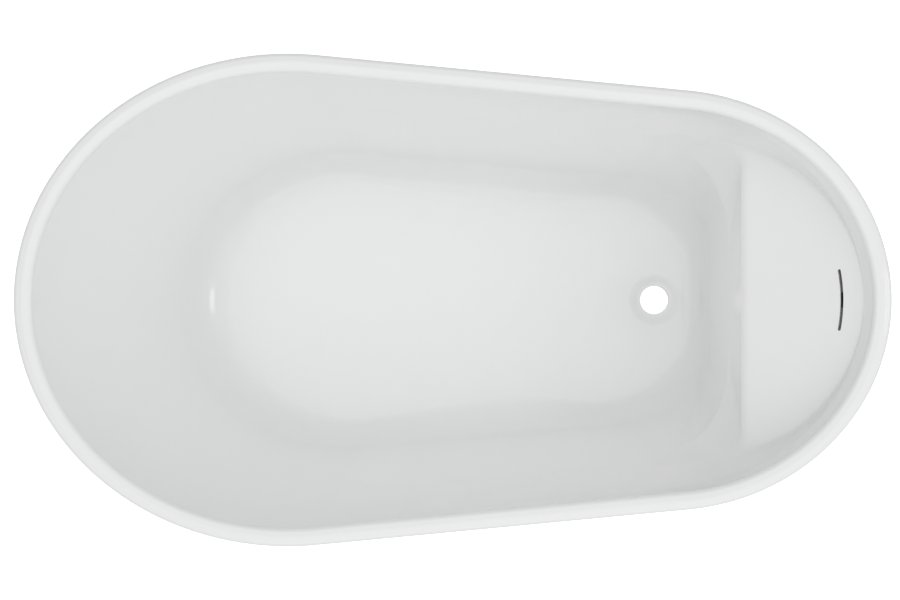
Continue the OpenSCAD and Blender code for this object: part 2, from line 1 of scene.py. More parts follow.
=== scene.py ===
import bpy, bmesh, json, math
import numpy as np
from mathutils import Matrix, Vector


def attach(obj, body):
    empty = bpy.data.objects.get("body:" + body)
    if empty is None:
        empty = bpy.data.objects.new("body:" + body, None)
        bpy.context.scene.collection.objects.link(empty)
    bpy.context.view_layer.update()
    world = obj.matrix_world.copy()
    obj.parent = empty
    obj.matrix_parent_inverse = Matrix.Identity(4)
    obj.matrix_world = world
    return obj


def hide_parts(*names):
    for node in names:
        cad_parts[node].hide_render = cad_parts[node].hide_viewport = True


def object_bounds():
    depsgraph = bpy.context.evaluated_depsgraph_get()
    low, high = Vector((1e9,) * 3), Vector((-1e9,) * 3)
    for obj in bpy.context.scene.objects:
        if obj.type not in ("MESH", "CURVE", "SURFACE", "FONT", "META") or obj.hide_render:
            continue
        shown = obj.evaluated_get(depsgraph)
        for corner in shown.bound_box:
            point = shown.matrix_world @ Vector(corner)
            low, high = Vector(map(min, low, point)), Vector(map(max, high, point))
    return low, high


# Freestanding bathtub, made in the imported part's own frame: +X foot end, +Z up, metres.
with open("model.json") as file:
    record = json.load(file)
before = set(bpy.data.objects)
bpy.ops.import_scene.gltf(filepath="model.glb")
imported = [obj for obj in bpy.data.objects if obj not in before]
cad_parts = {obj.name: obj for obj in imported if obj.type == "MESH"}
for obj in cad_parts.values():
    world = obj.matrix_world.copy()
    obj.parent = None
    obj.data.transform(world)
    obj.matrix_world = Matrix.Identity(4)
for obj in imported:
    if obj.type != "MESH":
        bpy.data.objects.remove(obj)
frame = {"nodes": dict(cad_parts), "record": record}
cadLow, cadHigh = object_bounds()
record = frame["record"]
mounts = {m["name"]: m for m in record["mounts"]}
mm = 0.001
sharpAngle = 42  # degrees between faces, above which an edge of the tub stays sharp
print("frame loaded:", len(frame["nodes"]), "CAD nodes")


def linkMesh(name, verts, faces, smoothAngle=None):
    mesh = bpy.data.meshes.new(name)
    mesh.from_pydata([tuple(v) for v in verts], [], [tuple(f) for f in faces])
    mesh.update()
    obj = bpy.data.objects.new(name, mesh)
    bpy.context.scene.collection.objects.link(obj)
    if smoothAngle is not None:
        mesh.shade_smooth()
        mesh.set_sharp_from_angle(angle=math.radians(smoothAngle))
    return obj


def bandMesh(rings):
    # rings joined in order, and the last to the first: a closed, hollow band
    count, cols = len(rings), len(rings[0])
    verts = np.concatenate([np.asarray(r) for r in rings])
    i = np.arange(cols)
    h = (i + 1) % cols
    faces = []
    for j in range(count):
        k = (j + 1) % count
        faces += np.stack([j * cols + i, j * cols + h, k * cols + h, k * cols + i], 1).tolist()
    return verts, faces


# sizes of the tub, in millimetres and degrees
tub = dict(headA=437, footA=360, footTaper=0.855, rimWidth=30, rollR=9, edgeR=10, lipDrop=24,
           wall=5, crown=1.0, wellDepth=440, floorFall=5, backRake=27, sideRake=14.5, footRake=12.3,
           headShift=72, footShift=70, footEndIn=225, coveR=55, coveFoot=33, coveH=58)
ledge = dict(front=219, depth=125, top=30, backIn=40, edge=12, crease=10, lean=19)
drain = dict(recessR=47.5, seatR=30, recessDepth=7, lipR=1.6)
overflow = dict(length=100, height=5, inFrom=31, curveR=259)
shell = dict(thickness=4, sideIn=88, endIn=112, gap=6, hem=15, seam=0.5)
columns = 432

footX = cadHigh.x / mm
headX = cadLow.x / mm
rimZ = cadHigh.z / mm
halfWidth = (cadHigh.y - cadLow.y) / 2 / mm + 0.22
drainX = mounts["drain_hole"]["pos_m"][0] / mm
holeR = mounts["drain_hole"]["dims"]["r_mm"]
headC = headX + tub["headA"]
footC = footX - tub["footA"]
midX = footC - 280
footHalf = halfWidth * tub["footTaper"]
floorD = tub["wellDepth"] - tub["floorFall"]
underZ = rimZ - tub["wellDepth"] - drain["recessDepth"] - tub["wall"]
frontX0 = footX - ledge["front"]
tipX = footX - ledge["backIn"]
ledgeSlope = (ledge["depth"] - ledge["top"]) / (tipX - frontX0)


def support(a, b, t):
    return np.sqrt((a * np.cos(t)) ** 2 + (b * np.sin(t)) ** 2)


def planRadius(egg, g):
    # distance from (midX, 0) to the hull of two ellipses, in direction g
    xh, ah, bh, xf, af, bf = [np.asarray(v, float) for v in egg]
    t = np.full(np.broadcast(xh, ah, bh, g).shape, 1.4)
    for _ in range(9):
        t = np.arccos(np.clip((support(ah, bh, t) - support(af, bf, t)) / (xf - xh), -0.9, 0.9))

    def ellipse(c, a, b):
        d = midX - c
        p = (np.cos(g) / a) ** 2 + (np.sin(g) / b) ** 2
        q = 2 * d * np.cos(g) / a ** 2
        s = q * q - 4 * p * (d * d / a ** 2 - 1)
        return np.where(s < 0, 0, (np.sqrt(np.maximum(s, 0)) - q) / (2 * p))

    k = np.cos(g - t)
    r = (xf * np.cos(t) + support(af, bf, t) - midX * np.cos(t)) / np.where(k > 0.05, k, 1)
    x = midX + r * np.cos(g)
    lo = xh + ah ** 2 * np.cos(t) / support(ah, bh, t)
    hi = xf + af ** 2 * np.cos(t) / support(af, bf, t)
    line = np.where((k > 0.05) & (x >= lo) & (x <= hi), r, 0)
    return np.maximum(np.maximum(ellipse(xh, ah, bh), ellipse(xf, af, bf)), line)


turn = np.arange(columns) * 2 * math.pi / columns
colA = np.arctan2(0.56 * np.sin(turn), np.cos(turn))
colG = np.abs(colA)


def ringAt(r, z):
    z = np.broadcast_to(z, colA.shape)
    return np.stack([midX + r * np.cos(colA), r * np.sin(colA), z], 1)


def insetRing(n, z):
    egg = [headC, tub["headA"] - n, halfWidth - n, footC, tub["footA"] - n, footHalf - n]
    return ringAt(planRadius(egg, colG), z)


def shellRing(depth, n, z):
    t = max(0, depth - tub["lipDrop"]) / (rimZ - tub["lipDrop"])
    f = 0.55 * t + 0.45 * t * t
    s, l = n + shell["sideIn"] * f, n + shell["endIn"] * f
    egg = [headC, tub["headA"] - l, halfWidth - s, footC, tub["footA"] - l, footHalf - s]
    return ringAt(planRadius(egg, colG), z)


def softMin(a, b, k):
    h = np.maximum(k - abs(a - b), 0) / k
    return np.minimum(a, b) - h * h * k / 4


def ease(t):
    q = np.clip(t, 0, 1)
    return q * q * (3 - 2 * q)


def wallEgg(d):
    h = np.maximum(0, d - tub["edgeR"])
    t = h / (floorD - tub["edgeR"])
    xh = headC + tub["headShift"] * t
    xf = footC - tub["footShift"] * t * t
    top = footX - tub["rimWidth"]
    top = top + (tipX - top) * np.minimum(1, h / (ledge["top"] - tub["edgeR"]))
    tip = top + (footX - tub["footEndIn"] - top) * np.maximum(0, d - ledge["depth"]) / (floorD - ledge["depth"])
    rake = [math.tan(math.radians(tub[k])) for k in ("backRake", "sideRake", "footRake")]
    return [xh, xh - (headX + tub["rimWidth"] + h * rake[0]), halfWidth - tub["rimWidth"] - h * rake[1],
            xf, tip - xf, footHalf - tub["rimWidth"] - h * rake[2] * (0.3 + 0.7 * ease(h / 140))]


def wallRadius(g, d):
    # the raked wall, cut short by the sloping ledge and by the face under its front edge
    egg = wallEgg(d)
    r = planRadius(egg, g)
    c = np.cos(g)
    face = frontX0 - ledge["lean"] * np.clip((d - ledge["depth"]) / (floorD - ledge["depth"]), 0, 1)
    x = -softMin((d - ledge["top"]) / ledgeSlope - tipX, -face, ledge["edge"])
    soft = np.clip((d - ledge["top"]) * 0.4, 0.1, ledge["crease"])
    soft = soft + np.maximum(0, d - ledge["depth"] + 30) * 0.8
    soft = np.minimum(soft, np.maximum(0.9 * (egg[3] + egg[4] - face), 12))
    return np.where((d <= ledge["top"]) | (c < 0.3), r, softMin(r, (x - midX) / np.where(c < 0.3, 1, c), soft))


def ledgeCrossing():
    # depth at which each direction crosses from the wall to the ledge
    lo, hi = np.full_like(colG, ledge["top"] + 3), np.full_like(colG, ledge["depth"] - 16)
    for _ in range(12):
        d = (lo + hi) / 2
        above = planRadius(wallEgg(d), colG) * np.cos(colG) < tipX - (d - ledge["top"]) / ledgeSlope - midX
        lo, hi = np.where(above, d, lo), np.where(above, hi, d)
    return np.where(np.cos(colG) < 0.3, ledge["depth"] - 16, hi)


def wellRadius(g, d):
    d = np.broadcast_to(np.asarray(d, float), g.shape)
    reach = tub["coveFoot"] + (tub["coveR"] - tub["coveFoot"]) * np.clip((1 - np.cos(g)) * 1.6, 0, 1)
    u = np.clip(1 - (floorD - d) / tub["coveH"], 0, 1)
    return wallRadius(g, d) - reach * (1 - np.sqrt(np.clip(1 - u * u, 0, 1)))


def wellRings():
    # rings gather at the ledge's crease, its front edge and the cove
    c = ledgeCrossing()
    front = ledge["depth"] - 10
    depths = [tub["edgeR"] + (ledge["top"] - tub["edgeR"]) * q + 0 * c for q in np.linspace(0, 1, 9)]
    depths += [ledge["top"] + (c - ledge["top"]) * q for q in (0.2, 0.4, 0.58, 0.72, 0.83, 0.91, 0.96, 1)]
    depths += [c + (front - c) * q for q in (0.04, 0.1, 0.18, 0.28, 0.4, 0.52, 0.64, 0.76, 0.88, 1)]
    depths += [d + 0 * c for d in np.linspace(front, ledge["depth"] + 12, 23)[1:]]
    depths += [d + 0 * c for d in np.linspace(ledge["depth"] + 12, floorD - tub["coveH"], 34)[1:]]
    depths += [floorD - tub["coveH"] * (1 - math.sin(a)) + 0 * c for a in np.linspace(0, math.pi / 2, 19)[1:]]
    return [ringAt(wellRadius(colG, d), rimZ - d) for d in depths]


def drainRing(r, z):
    return np.stack([drainX + r * np.cos(turn), r * np.sin(turn), np.full_like(turn, z)], 1)


def makeBasin():
    roll, edge, wall = tub["rollR"], tub["edgeR"], tub["wall"]
    rings = [insetRing(0.4, rimZ - tub["lipDrop"]), insetRing(0, rimZ - tub["lipDrop"] + 0.8)]
    rings += [insetRing(0, rimZ - roll - q) for q in (9, 4)]
    for a in np.linspace(0, math.pi / 2, 11):
        rings.append(insetRing(roll * (1 - math.cos(a)),
                               rimZ - tub["crown"] - (roll - tub["crown"]) * (1 - math.sin(a))))
    for q in np.linspace(0, 1, 9)[1:]:  # the rim's top is slightly crowned
        n = roll + (tub["rimWidth"] - edge - roll) * q
        rings.append(insetRing(n, rimZ - tub["crown"] * (1 - 4 * q * (1 - q))))
    for a in np.linspace(0, math.pi / 2, 9)[1:-1]:
        rings.append(insetRing(tub["rimWidth"] - edge + edge * math.sin(a),
                               rimZ - tub["crown"] - (edge - tub["crown"]) * (1 - math.cos(a))))
    firstWell = len(rings)
    rings += wellRings()
    floorRing = rings[-1]
    floorI = len(rings) - 1
    recessRing = drainRing(drain["recessR"], rimZ - tub["wellDepth"])
    for q in np.linspace(0, 1, 13)[1:]:
        rings.append(floorRing + (recessRing - floorRing) * q)
    floorTop = rimZ - tub["wellDepth"]
    seatZ = floorTop - drain["recessDepth"]
    for q in np.linspace(0, 1, 12)[1:]:  # the recess: a soft shoulder and a dished cone
        fall = 0.5 * q + 0.5 * q * q * (3 - 2 * q)
        rings.append(drainRing(drain["recessR"] + (drain["seatR"] - drain["recessR"]) * q,
                               floorTop + (seatZ - floorTop) * fall))
    lip = drain["lipR"]
    for a in np.linspace(0, math.pi / 2, 6):
        rings.append(drainRing(holeR + lip * (1 - math.sin(a)), seatZ - lip * (1 - math.cos(a))))
    rings.append(drainRing(holeR, underZ))
    # the back of the wall, offset from the front
    top = np.stack(rings[:floorI + 1])
    du = np.roll(top, -1, 1) - np.roll(top, 1, 1)
    dj = np.empty_like(top)
    dj[1:-1] = top[2:] - top[:-2]
    dj[0], dj[-1] = top[1] - top[0], top[-1] - top[-2]
    n = np.cross(du, dj)
    n /= np.maximum(np.linalg.norm(n, axis=2, keepdims=True), 1e-9)
    back = top - wall * n
    back[:, :, 2] = np.maximum(back[:, :, 2], underZ)
    flat = floorRing.copy()
    flat[:, 2] = underZ
    rings += [drainRing(drain["recessR"] + 20, underZ) * 0.4 + flat * 0.6, flat]
    rings += [back[j] for j in range(floorI - 3, firstWell + 2, -3)]
    rings += [insetRing(tub["rimWidth"] - wall, rimZ - wall - 4),
              insetRing(tub["rimWidth"] - wall - 3, rimZ - wall),
              insetRing(wall + 4, rimZ - wall), insetRing(wall, rimZ - wall - 4),
              insetRing(wall, rimZ - tub["lipDrop"])]
    verts, faces = bandMesh(rings)
    return linkMesh("tubBasin", verts * mm, faces, sharpAngle)


def makeSlotCutter():
    # a bar curved in the ledge's own plane, with round ends
    slotR = overflow["curveR"]
    slotX = tipX - overflow["inFrom"]
    slotZ = rimZ - ledge["top"] - ledgeSlope * overflow["inFrom"]
    lean = math.atan(ledgeSlope)
    rc = overflow["height"] / 2
    half = overflow["length"] / 2 - rc
    steps = [(-half - rc * math.sin(a), rc * math.cos(a)) for a in np.linspace(math.pi / 2 - 0.02, 0, 8)]
    steps += [(s, rc) for s in np.linspace(-half, half, 41)[1:-1]]
    steps += [(half + rc * math.sin(a), rc * math.cos(a)) for a in np.linspace(0, math.pi / 2 - 0.02, 8)]
    below, above = -12, 7  # how far the bar reaches either side of the ledge
    verts = []
    for s, h in steps:
        a = s / slotR
        for x, y in ((-h, below), (h, below), (h, above), (-h, above)):
            u = (slotR + x) * math.cos(a) - slotR
            verts.append(((slotX + u * math.cos(lean) - y * math.sin(lean)) * mm,
                          (slotR + x) * math.sin(a) * mm,
                          (slotZ + u * math.sin(lean) + y * math.cos(lean)) * mm))
    faces = [(3, 2, 1, 0)]
    for j in range(len(steps) - 1):
        faces += [(j * 4 + k, j * 4 + (k + 1) % 4, j * 4 + 4 + (k + 1) % 4, j * 4 + 4 + k)
                  for k in range(4)]
    e = (len(steps) - 1) * 4
    faces.append((e, e + 1, e + 2, e + 3))
    cutter = linkMesh("slotCutter", verts, faces)
    bm = bmesh.new()
    bm.from_mesh(cutter.data)
    bmesh.ops.recalc_face_normals(bm, faces=bm.faces)
    bm.to_mesh(cutter.data)
    bm.free()
    return cutter


def cutSlot(basin):
    cutter = makeSlotCutter()
    mod = basin.modifiers.new("slot", "BOOLEAN")
    mod.operation, mod.solver, mod.object = "DIFFERENCE", "EXACT", cutter
    mesh = bpy.data.meshes.new_from_object(basin.evaluated_get(bpy.context.evaluated_depsgraph_get()))
    basin.modifiers.clear()
    basin.data = mesh
    mesh.name = "tubBasin"
    mesh.shade_smooth()
    mesh.set_sharp_from_angle(angle=math.radians(sharpAngle))
    bpy.data.objects.remove(cutter)
    return basin


def makeShell():
    base = rimZ - shell["gap"]
    n = tub["wall"] + shell["seam"]
    top = tub["lipDrop"] + shell["seam"]
    depths = np.linspace(top, base - 2.5, 40)
    rings = [shellRing(base, shell["hem"], shell["gap"]), shellRing(base, 2.5, shell["gap"]),
             shellRing(base, 0.7, shell["gap"] + 0.7)]
    rings += [shellRing(d, 0, rimZ - d) for d in depths[::-1]]
    rings += [insetRing(n, rimZ - top), insetRing(n, rimZ - tub["wall"] - 6),
              insetRing(n + shell["thickness"], rimZ - tub["wall"] - 6),
              insetRing(n + shell["thickness"], rimZ - top - 8)]
    rings += [shellRing(d, shell["thickness"], rimZ - d) for d in np.linspace(top + 30, base - 12, 16)]
    rings += [shellRing(base - 4, shell["thickness"] + 1, shell["gap"] + 4),
              shellRing(base - 4, shell["hem"], shell["gap"] + 4)]
    verts, faces = bandMesh(rings)
    return linkMesh("tubShell", verts * mm, faces, sharpAngle)


basin = cutSlot(makeBasin())
outer = makeShell()
print("basin and shell:", len(basin.data.polygons), len(outer.data.polygons), "faces")


def newGroup(name, inputs, outputs):
    group = bpy.data.node_groups.new(name, "ShaderNodeTree")
    for kind, label, value in inputs:
        s = group.interface.new_socket(name=label, in_out="INPUT", socket_type=kind)
        s.default_value = value
    for kind, label in outputs:
        group.interface.new_socket(name=label, in_out="OUTPUT", socket_type=kind)
    return group, group.nodes.new("NodeGroupInput"), group.nodes.new("NodeGroupOutput")


def speckleGroup():
    # uneven tone and a fine surface grain, from one noise each
    group, gin, gout = newGroup("unevenTone", [
        ("NodeSocketFloat", "Patch scale", 6.0), ("NodeSocketFloat", "Grain scale", 400.0),
        ("NodeSocketColor", "Light tone", (1, 1, 1, 1)), ("NodeSocketColor", "Dark tone", (0.8, 0.8, 0.8, 1)),
        ("NodeSocketFloat", "Rough low", 0.3), ("NodeSocketFloat", "Rough high", 0.5)],
        [("NodeSocketColor", "Tone"), ("NodeSocketFloat", "Roughness"), ("NodeSocketFloat", "Grain")])
    n, l = group.nodes, group.links
    coord = n.new("ShaderNodeTexCoord")
    patch, grain = n.new("ShaderNodeTexNoise"), n.new("ShaderNodeTexNoise")
    patch.inputs["Detail"].default_value = 4
    grain.inputs["Detail"].default_value = 3
    l.new(coord.outputs["Object"], patch.inputs["Vector"])
    l.new(coord.outputs["Object"], grain.inputs["Vector"])
    l.new(gin.outputs["Patch scale"], patch.inputs["Scale"])
    l.new(gin.outputs["Grain scale"], grain.inputs["Scale"])
    tone = n.new("ShaderNodeMix")
    tone.data_type = "RGBA"
    l.new(patch.outputs["Fac"], tone.inputs["Factor"])
    l.new(gin.outputs["Dark tone"], tone.inputs[6])
    l.new(gin.outputs["Light tone"], tone.inputs[7])
    rough = n.new("ShaderNodeMapRange")
    l.new(patch.outputs["Fac"], rough.inputs["Value"])
    rough.inputs["From Min"].default_value, rough.inputs["From Max"].default_value = 0.3, 0.7
    l.new(gin.outputs["Rough low"], rough.inputs["To Min"])
    l.new(gin.outputs["Rough high"], rough.inputs["To Max"])
    l.new(tone.outputs[2], gout.inputs["Tone"])
    l.new(rough.outputs["Result"], gout.inputs["Roughness"])
    l.new(grain.outputs["Fac"], gout.inputs["Grain"])
    return group


def brushGroup():
    # long fine scratches along one axis, for plated and drawn metal
    inputs = [("NodeSocketVector", "Stretch", (4, 300, 300)), ("NodeSocketFloat", "Depth", 1.0)]
    group, gin, gout = newGroup("drawnLines", inputs, [("NodeSocketFloat", "Lines")])
    n, l = group.nodes, group.links
    coord, scale, noise, mul = [n.new(k) for k in ("ShaderNodeTexCoord", "ShaderNodeVectorMath",
                                                   "ShaderNodeTexNoise", "ShaderNodeMath")]
    scale.operation, mul.operation = "MULTIPLY", "MULTIPLY"
    l.new(coord.outputs["Object"], scale.inputs[0])
    l.new(gin.outputs["Stretch"], scale.inputs[1])
    l.new(scale.outputs[0], noise.inputs["Vector"])
    noise.inputs["Scale"].default_value = 5
    noise.inputs["Detail"].default_value = 2
    l.new(noise.outputs["Fac"], mul.inputs[0])
    l.new(gin.outputs["Depth"], mul.inputs[1])
    l.new(mul.outputs[0], gout.inputs["Lines"])
    return group


unevenTone, drawnLines = speckleGroup(), brushGroup()


def makeFinish(name, light, dark, roughLow, roughHigh, patch=6, grain=400, bump=0.05, bumpSize=0.0002,
               metallic=0.0, coat=0.0, coatRough=0.03, lines=None, ior=1.5):
    mat = bpy.data.materials.new(name)
    mat.use_nodes = True
    n, l = mat.node_tree.nodes, mat.node_tree.links
    bsdf = n["Principled BSDF"]
    g = n.new("ShaderNodeGroup")
    g.node_tree = unevenTone
    g.inputs["Patch scale"].default_value, g.inputs["Grain scale"].default_value = patch, grain
    g.inputs["Light tone"].default_value, g.inputs["Dark tone"].default_value = (*light, 1), (*dark, 1)
    g.inputs["Rough low"].default_value, g.inputs["Rough high"].default_value = roughLow, roughHigh
    l.new(g.outputs["Tone"], bsdf.inputs["Base Color"])
    l.new(g.outputs["Roughness"], bsdf.inputs["Roughness"])
    b = n.new("ShaderNodeBump")
    b.inputs["Strength"].default_value, b.inputs["Distance"].default_value = bump, bumpSize
    height = g.outputs["Grain"]
    if lines:
        s = n.new("ShaderNodeGroup")
        s.node_tree = drawnLines
        s.inputs["Stretch"].default_value = lines
        add = n.new("ShaderNodeMath")
        l.new(g.outputs["Grain"], add.inputs[0])
        l.new(s.outputs["Lines"], add.inputs[1])
        height = add.outputs[0]
    l.new(height, b.inputs["Height"])
    l.new(b.outputs["Normal"], bsdf.inputs["Normal"])
    bsdf.inputs["Metallic"].default_value = metallic
    bsdf.inputs["Coat Weight"].default_value = coat
    bsdf.inputs["Coat Roughness"].default_value = coatRough
    bsdf.inputs["IOR"].default_value = ior
    return mat, n, l, bsdf, g


acrylicWhite = makeFinish("acrylicWhite", (0.93, 0.935, 0.935), (0.92, 0.925, 0.925), 0.09, 0.14, patch=2.5,
                          grain=260, bump=0.04, bumpSize=0.00015, coat=0.35, coatRough=0.05, ior=1.49)[0]
resinCream = makeFinish("resinCream", (0.8, 0.77, 0.68), (0.66, 0.62, 0.5), 0.35, 0.6, patch=30, grain=180,
                        bump=0.5, bumpSize=0.0006)[0]
blackCoat = makeFinish("blackPowderCoat", (0.03, 0.031, 0.033), (0.02, 0.02, 0.022), 0.42, 0.58, patch=14,
                       grain=900, bump=0.35, bumpSize=0.0002)[0]
zincPlate = makeFinish("zincPlate", (0.66, 0.67, 0.69), (0.5, 0.51, 0.53), 0.24, 0.42, patch=45, grain=700,
                       bump=0.15, bumpSize=0.0001, metallic=1.0, lines=(120, 120, 8))[0]
bareSteel = makeFinish("weldedSteel", (0.42, 0.4, 0.38), (0.22, 0.2, 0.2), 0.35, 0.6, patch=90, grain=500,
                       bump=0.3, bumpSize=0.0002, metallic=1.0)[0]
blackPlastic = makeFinish("blackMouldedPlastic", (0.035, 0.035, 0.037), (0.024, 0.024, 0.026), 0.42, 0.55,
                          patch=20, grain=1200, bump=0.3, bumpSize=0.00012)[0]
pipeWhite = makeFinish("wastePipeWhite", (0.78, 0.78, 0.75), (0.72, 0.72, 0.69), 0.28, 0.38, patch=10,
                       grain=500, bump=0.08, bumpSize=0.0002, ior=1.54)[0]
padRubber = makeFinish("hardRubber", (0.04, 0.04, 0.04), (0.025, 0.025, 0.025), 0.62, 0.8, patch=60,
                       grain=1500, bump=0.4, bumpSize=0.00015)[0]
foamRubber = makeFinish("foamRubber", (0.05, 0.05, 0.052), (0.02, 0.02, 0.02), 0.8, 0.95, patch=300,
                        grain=1800, bump=0.8, bumpSize=0.0003)[0]


plyThickness = 0.002


def woodFinish(name, light, dark, plies):
    # grain runs along X; plywood also shows its plies on the edges
    mat, n, l, bsdf, g = makeFinish(name, light, dark, 0.5, 0.7, patch=5, grain=120, bump=0.35, bumpSize=0.0004)
    coord, mapping, wave = n.new("ShaderNodeTexCoord"), n.new("ShaderNodeMapping"), n.new("ShaderNodeTexWave")
    mapping.inputs["Scale"].default_value = (1.5, 28, 28)
    wave.wave_type, wave.bands_direction = "BANDS", "Y"
    wave.inputs["Scale"].default_value = 1.0
    wave.inputs["Distortion"].default_value = 7
    wave.inputs["Detail"].default_value = 3
    l.new(coord.outputs["Object"], mapping.inputs["Vector"])
    l.new(mapping.outputs["Vector"], wave.inputs["Vector"])
    mix = n.new("ShaderNodeMix")
    mix.data_type, mix.blend_type = "RGBA", "MULTIPLY"
    ramp = n.new("ShaderNodeMapRange")
    ramp.inputs["To Min"].default_value, ramp.inputs["To Max"].default_value = 0.0, 0.45
    l.new(wave.outputs["Fac"], ramp.inputs["Value"])
    l.new(ramp.outputs["Result"], mix.inputs["Factor"])
    l.new(g.outputs["Tone"], mix.inputs[6])
    mix.inputs[7].default_value = (0.62, 0.46, 0.3, 1)
    last = mix.outputs[2]
    if plies:
        sep, band, edge = [n.new(k) for k in ("ShaderNodeSeparateXYZ", "ShaderNodeMath", "ShaderNodeMath")]
        l.new(coord.outputs["Object"], sep.inputs[0])
        band.operation, edge.operation = "PINGPONG", "GREATER_THAN"
        l.new(sep.outputs["Z"], band.inputs[0])
        band.inputs[1].default_value = plyThickness
        l.new(band.outputs[0], edge.inputs[0])
        edge.inputs[1].default_value = plyThickness / 2
        geo, nz, side, both = [n.new(k) for k in ("ShaderNodeNewGeometry", "ShaderNodeSeparateXYZ",
                                                  "ShaderNodeMath", "ShaderNodeMath")]
        l.new(geo.outputs["Normal"], nz.inputs[0])
        side.operation, both.operation = "COMPARE", "MULTIPLY"
        l.new(nz.outputs["Z"], side.inputs[0])
        side.inputs[1].default_value, side.inputs[2].default_value = 0.0, 0.5
        l.new(edge.outputs[0], both.inputs[0])
        l.new(side.outputs[0], both.inputs[1])
        ply = n.new("ShaderNodeMix")
        ply.data_type = "RGBA"
        l.new(both.outputs[0], ply.inputs["Factor"])
        l.new(last, ply.inputs[6])
        ply.inputs[7].default_value = (0.2, 0.12, 0.06, 1)
        last = ply.outputs[2]
    l.new(last, bsdf.inputs["Base Color"])
    return mat


plywood = woodFinish("sealedPlywood", (0.62, 0.45, 0.26), (0.48, 0.33, 0.18), True)
softwood = woodFinish("sawnSoftwood", (0.7, 0.52, 0.31), (0.58, 0.41, 0.22), False)
print("finishes ready")


# levelling studs; heights are above the floor
stud = dict(core=5.15, ridge=0.82, pitch=1.75, threadFrom=22, threadTo=67.5, ball=9, ballFrom=9, ballTo=16,
            hexR=10, hexFrom=21, hexHeight=8)


def studTree():
    # a core, a helical ridge on it, a round foot and a hexagon to turn it by
    tree = bpy.data.node_groups.new("levellingStud", "GeometryNodeTree")
    tree.interface.new_socket(name="Geometry", in_out="OUTPUT", socket_type="NodeSocketGeometry")
    for label in ("Core", "Ridge", "Pitch", "Thread from", "Thread to", "Ball", "Ball from", "Ball to",
                  "Hexagon", "Hexagon from", "Hexagon height"):
        tree.interface.new_socket(name=label, in_out="INPUT", socket_type="NodeSocketFloat")
    tree.interface.new_socket(name="Place", in_out="INPUT", socket_type="NodeSocketVector")
    tree.interface.new_socket(name="Finish", in_out="INPUT", socket_type="NodeSocketMaterial")
    n, l = tree.nodes, tree.links
    gin, gout = n.new("NodeGroupInput"), n.new("NodeGroupOutput")

    def sums(op, a, b):
        m = n.new("ShaderNodeMath")
        m.operation = op
        for k, v in enumerate((a, b)):
            if isinstance(v, (int, float)):
                m.inputs[k].default_value = v
            else:
                l.new(v, m.inputs[k])
        return m.outputs[0]

    def drum(radius, low, high, sides):
        c, place, vec = [n.new(k) for k in ("GeometryNodeMeshCylinder", "GeometryNodeTransform",
                                            "ShaderNodeCombineXYZ")]
        c.inputs["Vertices"].default_value = sides
        l.new(radius, c.inputs["Radius"])
        l.new(sums("SUBTRACT", high, low), c.inputs["Depth"])
        l.new(sums("MULTIPLY", sums("ADD", high, low), 0.5), vec.inputs["Z"])
        l.new(c.outputs["Mesh"], place.inputs["Geometry"])
        l.new(vec.outputs[0], place.inputs["Translation"])
        return place.outputs["Geometry"]

    start, end = gin.outputs["Thread from"], gin.outputs["Thread to"]
    height = sums("SUBTRACT", sums("SUBTRACT", end, start), gin.outputs["Pitch"])
    spiral, profile, sweep, lift, liftBy = [n.new(k) for k in (
        "GeometryNodeCurveSpiral", "GeometryNodeCurvePrimitiveCircle", "GeometryNodeCurveToMesh",
        "GeometryNodeTransform", "ShaderNodeCombineXYZ")]
    spiral.inputs["Resolution"].default_value = 36
    l.new(sums("DIVIDE", height, gin.outputs["Pitch"]), spiral.inputs["Rotations"])
    l.new(gin.outputs["Core"], spiral.inputs["Start Radius"])
    l.new(gin.outputs["Core"], spiral.inputs["End Radius"])
    l.new(height, spiral.inputs["Height"])
    profile.inputs["Resolution"].default_value = 4
    l.new(gin.outputs["Ridge"], profile.inputs["Radius"])
    sweep.inputs["Fill Caps"].default_value = True
    l.new(spiral.outputs["Curve"], sweep.inputs["Curve"])
    l.new(profile.outputs["Curve"], sweep.inputs["Profile Curve"])
    l.new(sums("ADD", start, sums("MULTIPLY", gin.outputs["Pitch"], 0.5)), liftBy.inputs["Z"])
    l.new(sweep.outputs["Mesh"], lift.inputs["Geometry"])
    l.new(liftBy.outputs[0], lift.inputs["Translation"])
    join, place, real, paint = [n.new(k) for k in ("GeometryNodeJoinGeometry", "GeometryNodeTransform",
                                                   "GeometryNodeRealizeInstances", "GeometryNodeSetMaterial")]
    hexFrom = gin.outputs["Hexagon from"]
    for part in (drum(gin.outputs["Core"], gin.outputs["Ball from"], end, 48),
                 drum(gin.outputs["Ball"], gin.outputs["Ball from"], gin.outputs["Ball to"], 64),
                 drum(gin.outputs["Hexagon"], hexFrom, sums("ADD", hexFrom, gin.outputs["Hexagon height"]), 6),
                 lift.outputs["Geometry"]):
        l.new(part, join.inputs[0])
    l.new(join.outputs[0], place.inputs["Geometry"])
    l.new(gin.outputs["Place"], place.inputs["Translation"])
    l.new(place.outputs[0], real.inputs[0])
    l.new(real.outputs[0], paint.inputs["Geometry"])
    l.new(gin.outputs["Finish"], paint.inputs["Material"])
    l.new(paint.outputs[0], gout.inputs[0])
    return tree


